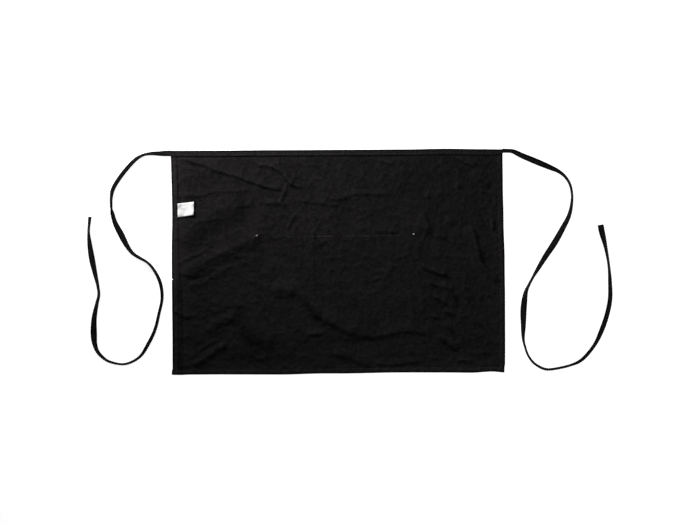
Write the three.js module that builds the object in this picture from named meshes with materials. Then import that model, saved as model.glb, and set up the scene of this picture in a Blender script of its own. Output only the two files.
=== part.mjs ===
// A black cotton waist apron, lying flat on a surface with its wrong side up.
// Millimetres: +X runs along the waistband, +Y points to the waistband, +Z up off the surface.
// The origin is on the surface, under the middle of the apron without its ties.

import * as THREE from "three";

const { degToRad, lerp, smoothstep } = THREE.MathUtils;

// Driving dimensions of the cloth
const PANEL_WIDTH = 750;
const PANEL_LENGTH = 505;
const CLOTH = 1;
const GAP = 0.3;
const CELL = 18;

// Hems, turned up on the wrong side: their widths, and how far they stand above the single cloth
const LEFT_HEM = { atBand: 13, atBottom: 21, widensFrom: 200, widensTo: 340 };
const RIGHT_HEM = 12.3;
const BOTTOM_HEM = 11;
const HEM_RISE = 1;
const HEM_STEP = 1;

// The tape that is folded over the panel's top edge and runs on as the ties
const BAND_DEPTH = 12.5;
const BAND_THICKNESS = 3 * CLOTH + 2 * GAP;
const BAND_EASE = 0.8;
const BAND_CELLS = 25;
const TIE_WIDTH = 15;
const TIE_THICKNESS = 2.2;
const TIE_EASE = 0.55;
const STEPS_PER_ROW = 2;
const TIE_CLEARANCE = 0.05;
const TIE_DROP = 40;
const TIE_LEAD = 6;

// Where each tie leaves the band: how far below its top edge, and the tape's roll there and after its lead
const TIE_START = {
  left: { down: 6.2, roll: 0, leadRoll: 12 },
  right: { down: 3.4, roll: 48, leadRoll: 56 },
};

// The patch pocket on the front, which faces the surface. offCentre is along X, and belowTop is measured
// from the band's top edge.
const POCKET = { width: 354, depth: 225, belowTop: 192, offCentre: -6 };
const POCKET_CELLS = { across: 8, down: 5 };

// How the panel comes down off the pocket and out of the band: flat for a margin, then a ramp
const MARGIN = 2;
const RAMP = 12;

// The care label: where its upper and lower edges start at the hem, and its free end, which stands up
const LABEL = {
  top: { startY: 132.8, freeX: -326, freeY: 137 },
  bottom: { startY: 101.3, freeX: -327, freeY: 106 },
};
const LABEL_LIFT = 2.2;
const LABEL_CELLS = 6;

// How far each edge lies outside its straight line.
// along is the share of the edge, from its left or top end, and out is in millimetres.
const EDGES = {
  top: [
    { along: 0, out: -0.6 },
    { along: 0.1, out: -0.3 },
    { along: 0.34, out: 0.9 },
    { along: 0.58, out: 1.9 },
    { along: 0.7, out: 2.4 },
    { along: 0.83, out: 4.1 },
    { along: 0.93, out: 3.1 },
    { along: 1, out: 2.6 },
  ],
  bottom: [
    { along: 0, out: 3 },
    { along: 0.23, out: 3 },
    { along: 0.35, out: 2.2 },
    { along: 0.5, out: 0.2 },
    { along: 0.7, out: -2 },
    { along: 0.83, out: -1.9 },
    { along: 1, out: -2.2 },
  ],
  left: [
    { along: 0, out: 3.8 },
    { along: 0.3, out: 0.9 },
    { along: 0.45, out: 1.9 },
    { along: 0.96, out: 0.4 },
    { along: 0.985, out: 2.9 },
    { along: 1, out: 2.9 },
  ],
  right: [
    { along: 0, out: -3.4 },
    { along: 0.15, out: -2.1 },
    { along: 0.32, out: -0.3 },
    { along: 0.5, out: 2.2 },
    { along: 0.67, out: 3.2 },
    { along: 0.9, out: 3.4 },
    { along: 1, out: 1.4 },
  ],
};

// The main folds, each a ridge that runs from left to right.
// bow is how far its middle lies to the upper side, height is its crest, and upper and lower are the widths
// of its two slopes.
const FOLDS = [
  { name: "corner crease", from: [-359, 234], to: [-122, 161], bow: -4, height: 3, upper: 26, lower: 18 },
  { name: "star, long arm", from: [-186, 212], to: [-105, 171], bow: 16, height: 3, upper: 20, lower: 18 },
  { name: "star, right arm", from: [-112, 173], to: [-81, 165], bow: 0, height: 2, upper: 18, lower: 18 },
  { name: "star, short arm", from: [-127, 133], to: [-109, 173], bow: 0, height: 3, upper: 20, lower: 18 },
  { name: "middle, left", from: [-102, 139], to: [8, 125], bow: 0, height: 2, upper: 20, lower: 18 },
  { name: "middle, right", from: [-25, 140], to: [114, 149], bow: 7, height: 2.5, upper: 22, lower: 18 },
  { name: "top right", from: [240, 242], to: [310, 199], bow: 4, height: 2.5, upper: 20, lower: 18 },
  { name: "left swell", from: [-374, -8], to: [-188, 64], bow: -4, height: 6, upper: 46, lower: 36 },
  { name: "under swell", from: [-345, -54], to: [-248, -12], bow: -4, height: 3, upper: 20, lower: 24 },
  { name: "left peak, rise", from: [-300, -147], to: [-243, -124], bow: 2, height: 5, upper: 24, lower: 24 },
  { name: "left peak, fall", from: [-250, -122], to: [-160, -188], bow: -8, height: 5, upper: 30, lower: 22 },
  { name: "bottom left", from: [-331, -237], to: [-246, -182], bow: -2, height: 4, upper: 22, lower: 20 },
  { name: "pocket corner", from: [-148, -79], to: [-46, -126], bow: 20, height: 5, upper: 28, lower: 20 },
  { name: "pocket edge", from: [-44, -124], to: [211, -169], bow: -20, height: 5, upper: 36, lower: 18 },
  { name: "bottom", from: [-15, -206], to: [75, -235], bow: 2, height: 3, upper: 24, lower: 20 },
  { name: "crumple, first", from: [174, -5], to: [246, -33], bow: -1, height: 4, upper: 22, lower: 20 },
  { name: "crumple, next", from: [208, -36], to: [266, -86], bow: -6, height: 4, upper: 22, lower: 20 },
  { name: "crumple, third", from: [230, -102], to: [266, -121], bow: 0, height: 3, upper: 20, lower: 20 },
  { name: "crumple, fourth", from: [230, -164], to: [266, -199], bow: 0, height: 3, upper: 20, lower: 20 },
  { name: "right edge", from: [300, 82], to: [354, -24], bow: -13, height: 4, upper: 22, lower: 22 },
];
const FOLD_END = 20;
const EDGE_CALM = 24;

// The ties' routes over the surface, from near the band's end to the cut end. roll is the tape's turn about
// its own length: 0 and 180 lie flat, one or the other face up, and 90 stands on edge.
const LEFT_TIE = [
  { x: -403, y: 245, roll: 46 },
  { x: -421, y: 245, roll: 62 },
  { x: -439, y: 242, roll: 68 },
  { x: -456, y: 233, roll: 57 },
  { x: -481, y: 207, roll: 51 },
  { x: -502, y: 178, roll: 51 },
  { x: -510, y: 162, roll: 53 },
  { x: -513, y: 144, roll: 63 },
  { x: -513, y: 126, roll: 72 },
  { x: -510, y: 108, roll: 102 },
  { x: -505, y: 90, roll: 117 },
  { x: -491, y: 62, roll: 139 },
  { x: -476, y: 34, roll: 117 },
  { x: -464, y: 19, roll: 107 },
  { x: -449, y: 9, roll: 104 },
  { x: -433, y: 0, roll: 99 },
  { x: -420, y: -13, roll: 100 },
  { x: -403, y: -45, roll: 104 },
  { x: -398, y: -81, roll: 101 },
  { x: -405, y: -117, roll: 101 },
  { x: -414, y: -153, roll: 104 },
  { x: -429, y: -185, roll: 108 },
  { x: -449, y: -215, roll: 103 },
  { x: -482, y: -231, roll: 104 },
  { x: -518, y: -225, roll: 111 },
  { x: -533, y: -215, roll: 118 },
  { x: -545, y: -201, roll: 126 },
  { x: -551, y: -183, roll: 142 },
  { x: -553, y: -165, roll: 163 },
  { x: -552, y: -129, roll: 143 },
  { x: -545, y: -93, roll: 121 },
  { x: -541, y: -75, roll: 112 },
  { x: -543, y: -56, roll: 86 },
  { x: -551, y: -21, roll: 64 },
  { x: -557, y: 6, roll: 47 },
  { x: -562, y: 41, roll: 68 },
  { x: -564, y: 69, roll: 88 },
  { x: -561, y: 102, roll: 111 },
];
const RIGHT_TIE = [
  { x: 389, y: 249, roll: 62 },
  { x: 415, y: 240, roll: 52 },
  { x: 448, y: 227, roll: 43 },
  { x: 481, y: 213, roll: 58 },
  { x: 498, y: 205, roll: 72 },
  { x: 512, y: 194, roll: 80 },
  { x: 523, y: 178, roll: 85 },
  { x: 528, y: 160, roll: 86 },
  { x: 529, y: 142, roll: 85 },
  { x: 523, y: 107, roll: 70 },
  { x: 507, y: 74, roll: 52 },
  { x: 489, y: 42, roll: 39 },
  { x: 469, y: 12, roll: 52 },
  { x: 450, y: -19, roll: 72 },
  { x: 441, y: -34, roll: 88 },
  { x: 432, y: -51, roll: 112 },
  { x: 425, y: -67, roll: 127 },
  { x: 420, y: -103, roll: 160 },
  { x: 419, y: -139, roll: 142 },
  { x: 419, y: -176, roll: 115 },
  { x: 423, y: -193, roll: 107 },
  { x: 429, y: -210, roll: 107 },
  { x: 440, y: -226, roll: 106 },
  { x: 455, y: -237, roll: 103 },
  { x: 472, y: -243, roll: 98 },
  { x: 509, y: -238, roll: 96 },
  { x: 527, y: -233, roll: 95 },
  { x: 544, y: -226, roll: 99 },
  { x: 558, y: -215, roll: 102 },
  { x: 581, y: -186, roll: 103 },
  { x: 596, y: -155, roll: 118 },
  { x: 608, y: -120, roll: 115 },
  { x: 615, y: -85, roll: 114 },
  { x: 615, y: -48, roll: 107 },
  { x: 612, y: -8, roll: 90 },
  { x: 605, y: 33, roll: 50 },
  { x: 597, y: 68, roll: 25 },
  { x: 594, y: 84, roll: 25 },
];

// Materials
const twill = new THREE.MeshStandardMaterial({ color: 0x1a1919, roughness: 0.95, metalness: 0 });
const tape = new THREE.MeshStandardMaterial({ color: 0x171616, roughness: 0.9, metalness: 0 });
const satin = new THREE.MeshStandardMaterial({ color: 0xf3f2ee, roughness: 0.6, metalness: 0 });

// How far an edge lies outside its straight line, at a share of its length
function edgeOut(rows, along) {
  const last = rows.findIndex((row, i) => i > 0 && along <= row.along);
  const end = last < 0 ? rows.length - 1 : last;
  const a = rows[end - 1];
  const b = rows[end];
  return lerp(a.out, b.out, smoothstep(along, a.along, b.along));
}

// Where a point of the flat pattern lies: across from the panel's middle, down from the band's top edge
function place(across, down) {
  const s = across / PANEL_WIDTH + 0.5;
  const t = down / PANEL_LENGTH;
  const sideways = s * edgeOut(EDGES.right, t) - (1 - s) * edgeOut(EDGES.left, t);
  const upwards = (1 - t) * edgeOut(EDGES.top, s) - t * edgeOut(EDGES.bottom, s);
  return { x: across + sideways, y: PANEL_LENGTH / 2 - down + upwards };
}

// The height of one fold's ridge over a point
function ridge(fold, x, y) {
  const run = new THREE.Vector2(fold.to[0] - fold.from[0], fold.to[1] - fold.from[1]);
  const length = run.length();
  run.normalize();
  const dx = x - fold.from[0];
  const dy = y - fold.from[1];
  const along = dx * run.x + dy * run.y;
  const share = THREE.MathUtils.clamp(along / length, 0, 1);
  const aside = dy * run.x - dx * run.y - 4 * fold.bow * share * (1 - share);
  const slope = Math.abs(aside) / (aside > 0 ? fold.upper : fold.lower);
  if (slope >= 1) {
    return 0;
  }
  const ends = smoothstep(along, -FOLD_END, FOLD_END) * smoothstep(length - along, -FOLD_END, FOLD_END);
  return fold.height * ends * 0.5 * (1 + Math.cos(Math.PI * slope));
}

// How far the panel's lower face is held up by the band at its top edge and by the pocket under it
function heldUp(across, down) {
  const outOfBand = down - BAND_DEPTH;
  const besidePocket = Math.abs(across - POCKET.offCentre) - POCKET.width / 2;
  const abovePocket = POCKET.belowTop - down;
  const belowPocket = down - POCKET.belowTop - POCKET.depth;
  const outOfPocket = Math.max(besidePocket, abovePocket, belowPocket);
  const clear = Math.min(outOfBand, outOfPocket) - MARGIN;
  return (CLOTH + GAP) * (1 - smoothstep(clear, 0, RAMP));
}

// The lower face of the panel: what holds it up, and its folds, which die out towards the edges
function panelHeight(across, down) {
  const { x, y } = place(across, down);
  const fromSide = PANEL_WIDTH / 2 - Math.abs(across);
  const fromEdge = Math.min(fromSide, down - BAND_DEPTH, PANEL_LENGTH - down);
  const calm = smoothstep(fromEdge, 0, EDGE_CALM);
  const folds = FOLDS.map((fold) => ridge(fold, x, y));
  return heldUp(across, down) + calm * Math.max(...folds);
}

// A closed wall over a grid: point(column, row) gives x, y and the heights of the low and the high face
function wall(columns, rows, point) {
  const positions = [];
  const triangles = [];
  const faceSize = (columns + 1) * (rows + 1);
  const low = (column, row) => row * (columns + 1) + column;
  const high = (column, row) => faceSize + low(column, row);
  const quad = (a, b, c, d) => triangles.push(a, b, c, a, c, d);
  for (const face of ["low", "high"]) {
    for (let row = 0; row <= rows; row++) {
      for (let column = 0; column <= columns; column++) {
        const p = point(column, row);
        positions.push(p.x, p.y, p[face]);
      }
    }
  }
  for (let row = 0; row < rows; row++) {
    for (let column = 0; column < columns; column++) {
      quad(high(column, row), high(column, row + 1), high(column + 1, row + 1), high(column + 1, row));
      quad(low(column, row), low(column + 1, row), low(column + 1, row + 1), low(column, row + 1));
    }
    quad(high(0, row), low(0, row), low(0, row + 1), high(0, row + 1));
    quad(low(columns, row), high(columns, row), high(columns, row + 1), low(columns, row + 1));
  }
  for (let column = 0; column < columns; column++) {
    quad(high(column, 0), high(column + 1, 0), low(column + 1, 0), low(column, 0));
    quad(low(column, rows), low(column + 1, rows), high(column + 1, rows), high(column, rows));
  }
  const geometry = new THREE.BufferGeometry();
  geometry.setAttribute("position", new THREE.Float32BufferAttribute(positions, 3));
  geometry.setIndex(triangles);
  return geometry;
}

// A closed bar of one section: rings holds the section's points at each step along it
function bar(section, rings) {
  const positions = [];
  const triangles = [];
  const sides = section.length;
  for (const ring of rings) {
    for (const p of ring) {
      positions.push(p.x, p.y, p.z);
    }
  }
  for (let step = 0; step < rings.length - 1; step++) {
    for (let side = 0; side < sides; side++) {
      const a = step * sides + side;
      const b = step * sides + ((side + 1) % sides);
      triangles.push(a, b, b + sides, a, b + sides, a + sides);
    }
  }
  const end = (rings.length - 1) * sides;
  for (const [a, b, c] of THREE.ShapeUtils.triangulateShape(section, [])) {
    triangles.push(c, b, a, end + a, end + b, end + c);
  }
  const geometry = new THREE.BufferGeometry();
  geometry.setAttribute("position", new THREE.Float32BufferAttribute(positions, 3));
  geometry.setIndex(triangles);
  return geometry;
}

// Splits each span between neighbouring stations into equal cells no longer than CELL
function subdivide(stations) {
  const lines = [stations[0]];
  for (let i = 1; i < stations.length; i++) {
    const cells = Math.ceil((stations[i].at - stations[i - 1].at) / CELL);
    for (let cell = 1; cell <= cells; cell++) {
      lines.push({
        at: lerp(stations[i - 1].at, stations[i].at, cell / cells),
        atBottom: lerp(stations[i - 1].atBottom, stations[i].atBottom, cell / cells),
      });
    }
  }
  return lines;
}

// A grid line that keeps its place from the band to the bottom edge
function straight(at) {
  return { at, atBottom: at };
}

// The grid lines down the panel: its edges, the hems' inner edges and the ramps beside the pocket
function panelColumns() {
  const half = PANEL_WIDTH / 2;
  const pocketLeft = POCKET.offCentre - POCKET.width / 2 - MARGIN;
  const pocketRight = POCKET.offCentre + POCKET.width / 2 + MARGIN;
  return subdivide([
    straight(-half),
    { at: LEFT_HEM.atBand - half, atBottom: LEFT_HEM.atBottom - half },
    { at: LEFT_HEM.atBand + HEM_STEP - half, atBottom: LEFT_HEM.atBottom + HEM_STEP - half },
    straight(pocketLeft - RAMP),
    straight(pocketLeft - RAMP / 2),
    straight(pocketLeft),
    straight(pocketRight),
    straight(pocketRight + RAMP / 2),
    straight(pocketRight + RAMP),
    straight(half - RIGHT_HEM - HEM_STEP),
    straight(half - RIGHT_HEM),
    straight(half),
  ]);
}

// The grid lines across the panel: from inside the band's fold to the bottom hem
function panelRows() {
  const pocketTop = POCKET.belowTop - MARGIN;
  const pocketBottom = POCKET.belowTop + POCKET.depth + MARGIN;
  const stations = [
    CLOTH + GAP,
    BAND_DEPTH + HEM_STEP,
    BAND_DEPTH + MARGIN,
    BAND_DEPTH + MARGIN + RAMP / 2,
    BAND_DEPTH + MARGIN + RAMP,
    pocketTop - RAMP,
    pocketTop - RAMP / 2,
    pocketTop,
    pocketBottom,
    pocketBottom + RAMP / 2,
    pocketBottom + RAMP,
    PANEL_LENGTH - BOTTOM_HEM - HEM_STEP,
    PANEL_LENGTH - BOTTOM_HEM,
    PANEL_LENGTH,
  ];
  return subdivide(stations.map(straight));
}

// How much of its final width the left hem has gained at a distance below the band's top edge
function widened(down) {
  return smoothstep(down, LEFT_HEM.widensFrom, LEFT_HEM.widensTo);
}

// The body panel: one cloth, doubled where its hems are turned up
function bodyPanel() {
  const columns = panelColumns();
  const rows = panelRows();
  const hemColumns = [0, 1, columns.length - 2, columns.length - 1];
  const hemRows = [rows.length - 2, rows.length - 1];
  return wall(columns.length - 1, rows.length - 1, (column, row) => {
    const down = rows[row].at;
    const across = lerp(columns[column].at, columns[column].atBottom, widened(down));
    const underBand = down < BAND_DEPTH + MARGIN;
    const doubled = !underBand && (hemColumns.includes(column) || hemRows.includes(row));
    const low = panelHeight(across, down);
    const high = low + CLOTH + (doubled ? HEM_RISE : 0);
    return { ...place(across, down), low, high };
  });
}

// The band: a tape folded over the panel's top edge, open downwards, where the panel goes in
function waistBand() {
  const roof = BAND_THICKNESS - CLOTH;
  const outline = [
    { down: BAND_DEPTH, z: 0 },
    { down: BAND_EASE, z: 0 },
    { down: 0, z: BAND_EASE },
    { down: 0, z: BAND_THICKNESS - BAND_EASE },
    { down: BAND_EASE, z: BAND_THICKNESS },
    { down: BAND_DEPTH, z: BAND_THICKNESS },
    { down: BAND_DEPTH, z: roof },
    { down: CLOTH, z: roof },
    { down: CLOTH, z: CLOTH },
    { down: BAND_DEPTH, z: CLOTH },
  ];
  const section = outline.map((p) => new THREE.Vector2(-p.down, p.z));
  const rings = [];
  for (let cell = 0; cell <= BAND_CELLS; cell++) {
    const across = PANEL_WIDTH * (cell / BAND_CELLS - 0.5);
    rings.push(outline.map((p) => ({ ...place(across, p.down), z: p.z })));
  }
  return bar(section, rings);
}

// A tie: the flat tape along its route, turned by its roll, with its lower edge on the surface
function tie(route, side, beginning) {
  const bandEnd = place((side * PANEL_WIDTH) / 2, beginning.down);
  const startX = bandEnd.x + side * GAP;
  const start = { x: startX, y: bandEnd.y, roll: beginning.roll };
  const lead = { x: startX + side * TIE_LEAD, y: bandEnd.y, roll: beginning.leadRoll };
  const rows = [start, lead, ...route];
  const path = new THREE.CatmullRomCurve3(rows.map((row) => new THREE.Vector3(row.x, row.y, 0)));
  const rolls = new THREE.CatmullRomCurve3(rows.map((row, i) => new THREE.Vector3(i, row.roll, 0)));
  const halfWidth = TIE_WIDTH / 2;
  const halfThick = TIE_THICKNESS / 2;
  const section = [
    new THREE.Vector2(halfWidth, TIE_EASE),
    new THREE.Vector2(halfWidth - TIE_EASE, halfThick),
    new THREE.Vector2(TIE_EASE - halfWidth, halfThick),
    new THREE.Vector2(-halfWidth, TIE_EASE),
    new THREE.Vector2(-halfWidth, -TIE_EASE),
    new THREE.Vector2(TIE_EASE - halfWidth, -halfThick),
    new THREE.Vector2(halfWidth - TIE_EASE, -halfThick),
    new THREE.Vector2(halfWidth, -TIE_EASE),
  ];
  const up = new THREE.Vector3(0, 0, 1);
  const steps = (rows.length - 1) * STEPS_PER_ROW;
  const rings = [];
  for (let step = 0; step <= steps; step++) {
    const t = step / steps;
    const roll = degToRad(rolls.getPoint(t).y);
    const centre = path.getPoint(t);
    const aside = up.clone().cross(path.getTangent(t));
    const alongWidth = aside.clone().multiplyScalar(Math.cos(roll)).addScaledVector(up, Math.sin(roll));
    const alongThick = aside.clone().multiplyScalar(-Math.sin(roll)).addScaledVector(up, Math.cos(roll));
    const offsets = section.map((p) =>
      new THREE.Vector3().addScaledVector(alongWidth, p.x).addScaledVector(alongThick, p.y));
    const lowest = Math.min(...offsets.map((offset) => offset.z));
    const fromBand = Math.abs(centre.x - bandEnd.x);
    const bandLift = (BAND_THICKNESS / 2 - halfThick) * (1 - smoothstep(fromBand, 0, TIE_DROP));
    centre.z = TIE_CLEARANCE + bandLift - lowest;
    rings.push(offsets.map((offset) => offset.add(centre)));
  }
  return bar(section, rings);
}

// The pocket: a flat patch under the panel
function frontPocket() {
  return wall(POCKET_CELLS.across, POCKET_CELLS.down, (column, row) => {
    const across = POCKET.offCentre + POCKET.width * (column / POCKET_CELLS.across - 0.5);
    const down = POCKET.belowTop + POCKET.depth * (row / POCKET_CELLS.down);
    return { ...place(across, down), low: 0, high: CLOTH };
  });
}

// The care label: caught at the left hem's inner edge, with its other end standing up a little
function careLabel() {
  return wall(LABEL_CELLS, 1, (column, row) => {
    const edge = row === 0 ? LABEL.top : LABEL.bottom;
    const down = PANEL_LENGTH / 2 - edge.startY;
    const hem = lerp(LEFT_HEM.atBand, LEFT_HEM.atBottom, widened(down)) + HEM_STEP;
    const start = place(hem + GAP - PANEL_WIDTH / 2, down);
    const share = column / LABEL_CELLS;
    const low = CLOTH + GAP + LABEL_LIFT * share * share;
    return {
      x: lerp(start.x, edge.freeX, share),
      y: lerp(start.y, edge.freeY, share),
      low,
      high: low + CLOTH,
    };
  });
}

// The apron, a named mesh for each piece
const apron = new THREE.Group();
const pieces = [
  { name: "body_panel", geometry: bodyPanel(), material: twill },
  { name: "waist_band", geometry: waistBand(), material: tape },
  { name: "tie_left", geometry: tie(LEFT_TIE, -1, TIE_START.left), material: tape },
  { name: "tie_right", geometry: tie(RIGHT_TIE, 1, TIE_START.right), material: tape },
  { name: "front_pocket", geometry: frontPocket(), material: twill },
  { name: "care_label", geometry: careLabel(), material: satin },
];
for (const piece of pieces) {
  const mesh = new THREE.Mesh(piece.geometry, piece.material);
  mesh.name = piece.name;
  apron.add(mesh);
}

export default apron;
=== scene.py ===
"""A black cotton waist apron laid flat with its wrong side up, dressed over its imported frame."""

import math
from collections import namedtuple

import bpy
import numpy as np
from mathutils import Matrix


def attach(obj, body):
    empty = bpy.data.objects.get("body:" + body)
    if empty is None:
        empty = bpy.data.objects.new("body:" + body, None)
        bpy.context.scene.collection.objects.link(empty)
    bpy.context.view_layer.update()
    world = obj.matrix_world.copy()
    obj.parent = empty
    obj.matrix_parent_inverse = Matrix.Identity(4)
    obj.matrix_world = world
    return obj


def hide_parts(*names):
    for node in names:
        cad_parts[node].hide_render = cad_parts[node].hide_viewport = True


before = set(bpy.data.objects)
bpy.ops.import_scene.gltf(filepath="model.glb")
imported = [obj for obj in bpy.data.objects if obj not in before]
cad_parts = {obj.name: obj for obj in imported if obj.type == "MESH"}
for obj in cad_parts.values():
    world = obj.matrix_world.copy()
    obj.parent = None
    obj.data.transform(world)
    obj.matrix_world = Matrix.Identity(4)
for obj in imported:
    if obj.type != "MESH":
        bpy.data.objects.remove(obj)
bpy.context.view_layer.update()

# Sizes are in millimetres, as in the part, and turn to metres where a mesh is made.
MM = 0.001

# Panel
PANEL_WIDTH = 750
PANEL_LENGTH = 505
HALF = PANEL_WIDTH / 2
CLOTH = 0.45
LAYER = 0.6
LIE = 0.4
GRID = 3.1
HEM_TURN = 7
ROWS_IN_BAND = (2, 5, 8, 11)
LEFT_HEM = (13, 21)
LEFT_HEM_WIDENS = (200, 340)
LEFT_SEAM = (11.5, 14)
RIGHT_HEM = 12.3
BOTTOM_HEM = 11
HEM_NOSE = 0.5
HEM_STACK = 1.67
SEAM_INSET = 2
STACK_EASE = 4
STACK_PRESS = 0.1
SHARP_ANGLE = 65
EDGE_SHARE = 0.35
EDGE_CALM = 14
BAND_EASE = 12
FOLD_FADE = 15
FOLD_LEAN = 2.5
FOLD_STEP = 8
CURVE_STEPS = 12
CREASE_OFF = 2
CREASE_HALF = 2.4
NICK_DOWN = 290
NICK_HALF = 2.3
NICK_DEPTH = 2.8
NICK_REACH = 14

# Waist band and ties, both of one folded tape
BAND_DEPTH = 13.1
TIE_WIDTH = 15
TIE_THICKNESS = 2.4
TIE_FULL = 1.035
TIE_SAG = 0.05
TIE_OPEN = 1.1
TIE_OPEN_REACH = 13
TIE_FULL_AT_BAND = 0.5
BAND_MIDDLE = 1.75
PUCKER_PITCH = 5.2
PUCKER_RISE = 0.4
PUCKER_DRIFT = 0.12
BAND_SEED = 23
RING_STEP = 1.3
LIE_RINGS = 15
TIE_TUCK = 1.5
TIE_BLEND = 22
TIE_CLEARANCE = 0.08
TIE_LEAD = 6
TIE_LEFT_START = {"side": -1, "down": 6.2, "roll": 0, "lead_roll": 12, "seed": 31}
TIE_RIGHT_START = {"side": 1, "down": 3.7, "roll": 64, "lead_roll": 66, "seed": 37}
BAND_NARROWS = 0.4
BAND_NARROW_LENGTH = 16

# Pocket on the hidden front
POCKET_WIDTH = 354
POCKET_DEPTH = 225
POCKET_BELOW_TOP = 192
POCKET_OFF_CENTRE = -6
POCKET_LIFT = 1.3
POCKET_HEM = 15
POCKET_TURN = 8
POCKET_CLOTH = 0.26
POCKET_LAYER = 0.3
POCKET_LIE = 0.3
POCKET_GRID = 5
POCKET_EASE = {"beside": 45, "above": 40, "below": 20}

# Label
LABEL_TOP = {"start_y": 131.7, "free_x": -327, "free_y": 135.9}
LABEL_BOTTOM = {"start_y": 100.6, "free_x": -327.4, "free_y": 105.7}
LABEL_LIFT = 2.2
LABEL_TUCK = 0.4
LABEL_STIFF = 2.5
LABEL_CLOTH = 0.28
LABEL_CLEAR = 0.18
LABEL_OPEN = (0.3, 0.4)
LABEL_COLUMNS = 15
LABEL_ROWS = 13
LABEL_NOSE = 1.008
# How far the label's painted shadow reaches below it at its free end.
LABEL_SHADOW_DROP = 4.5

# Stitches
STITCH_PITCH = 3
STITCH_LENGTH = 2.5
THREAD = 0.34
POCKET_THREAD = 0.3
TOP_FACE = LAYER * HEM_STACK + CLOTH / 2
FRONT_FACE = -CLOTH / 2
BAND_FACES = (3.55, 0.2)
POCKET_FRONT = 0.17

# Pale thread that shows through: a bar tack at each pocket corner, and runs of a broken row between them,
# each with its start, its end and how many stitches it steps on by.
TACKS = (-183, 171)
TACK = {"width": 3.4, "height": 2, "raise": 0.1, "threads": 10, "lean": 0.15}
TACK_SEWING = {"pitch": 1, "length": 1.4, "thread": 0.4}
PALE_RUNS = (
    (-171, -160, 1), (-142, -134, 1), (-111, -98, 1), (-59, -7, 1), (13, 29, 2), (48, 70, 1), (82, 140, 2),
)
PALE_LENGTH = 2
PALE_THREAD = 0.35
PALE_BELOW_TOP = 3

# Ribs of the weaves, two to three times as coarse as real ones, which are too fine to show or to export,
# and their slants in degrees.
TWILL_RIB = 1.2
TAPE_RIB = 1.0
SATIN_RIB = 0.8
TWILL_SLANT = 60
TAPE_SLANT = 45

# Wear, with painted light and shade. A tone of 0 is the cloth's middle shade, 1 lies beyond its palest one
# and -1 beyond its darkest. Worn patches have a size and a share.
MIDDLE_SHADE = 0.32
RIB_TONE = 0.12
WORN_PATCHES = ((38, 0.5), (11, 0.65), (4.5, 0.9))
CRINKLE = {"size": 11, "depth": 2.2}
PUCKER_DEPTH = 0.08
RIB_DEPTH = 0.12
# Painted shade along the hems' inner edges, just below the band, on the band's lower lip and in the left
# stitching.
SEAM_DARK = 0.34
SEAM_HALF = 1.5
STITCH_HALF = 1.2
OFF_SEAM = 2
# Painted shade on the folded outer edges of the hems and of the band's top.
EDGE_DARK = 0.75
SIDE_EDGE = (3, 4.6)
BOTTOM_EDGE = (3.2, 6)
HEM_WORN = 0.34
# Painted light on the plain cloth beside the hems and in a strip just below the band.
HEM_LIGHT_REACH = 18
BELOW_BAND = {"down": 4, "half": 3}
SEAM_PULL_REACH = 7
# Painted shade on each crease's shaded side and a painted highlight on its lit crest.
CREASE_SHADE = 0.2
CREASE_HIGHLIGHT = 0.16
CREASE_CRISP = (0.3, 0.9)
CREASE_HEIGHT = 3.5
# Painted shadow of the label on the cloth under and beside it.
LABEL_SHADOW = 0.7
BAND_WORN = 0.42
BAND_TOP_EDGE = (2.4, 4.4)
# Painted shade on the band's lower lip and along a crease in it, and a painted highlight line on the lip.
BAND_LIP = (12.3, 13.1)
BAND_LIP_DARK = 0.9
BAND_CREASE = {"down": 6.6, "half": 1.8, "tone": 0.26}
BAND_LIP_HIGHLIGHT = {"down": 9.6, "half": 1.4, "tone": 0.12}
# Painted light and shade on the puckers of the band and the ties, paler on their crests.
BAND_LADDER = 0.3
TIE_WORN = -0.36
TIE_CREST = {"tone": 0.14, "half": 5}
TIE_LADDER = 0.12

# How wear and painted light and shade change along the panel: millimetres below its top, or across from
# its middle, and the value there.
LEFT_SEAM_DARK = ((260, 0.9), (330, 1.2))
RIGHT_SEAM_DARK = 0.4
BAND_SEAM_DARK = 0.25
LEFT_STITCH_DARK = ((260, 1), (330, 1.4))
LEFT_PAINTED_LIGHT = ((260, 0.36), (330, 0.16))
RIGHT_PAINTED_LIGHT = 0.16
LIGHT_BELOW_BAND = ((-200, 0.26), (40, 0.12))
LEFT_HEM_WORN = ((90, 1.7), (160, 2.2), (260, 2.2), (330, 0.6))
RIGHT_HEM_WORN = 1.3
BOTTOM_HEM_WORN = ((-260, 2.2), (-60, 1.9))

# Crumple: heights of its slow swell, its web of creases and its finest ones, and how sharp the creases are.
SWELL_RISE = 0.5
WEB_RISE = 1.5
FINE_RISE = 1.2
WEB_SHARP = 4

# Random waves: seed, count, longest and shortest wavelength.
SWELL_WAVES = (5, 24, 260, 90)
WEB_WAVES = (11, 28, 110, 40)
FINE_WAVES = (17, 36, 45, 14)
UNEVEN_WAVES = (59, 16, 80, 25)
GATHER_WAVES = (61, 12, 60, 9)
WAVER_X = ((0.6, (41, 16, 90, 30)), (0.4, (43, 16, 26, 12)))
WAVER_Y = ((0.6, (47, 16, 90, 30)), (0.4, (53, 16, 26, 12)))

# Photograph's frame, in metres, and the camera's sensor, in millimetres
CAMERA_PLACE = (0.0269, -0.0014, 3.0)
FRAME_WIDTH = 1.5866
SENSOR = 36

# Floor and lights, in metres, degrees and watts. A light has its place, the point it aims at, its width,
# depth, spread and power.
FLOOR_HALF = 20
SKY = 0.015
LIGHTS = {
    "key": ((-0.78, 0.94, 0.43), (0.0, 0.2, 0), 0.5, 0.3, 80, 5.3),
    "fill": ((0.95, -0.2, 1.4), (0.2, -0.05, 0), 1.0, 1.0, 180, 7.1),
}

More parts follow.
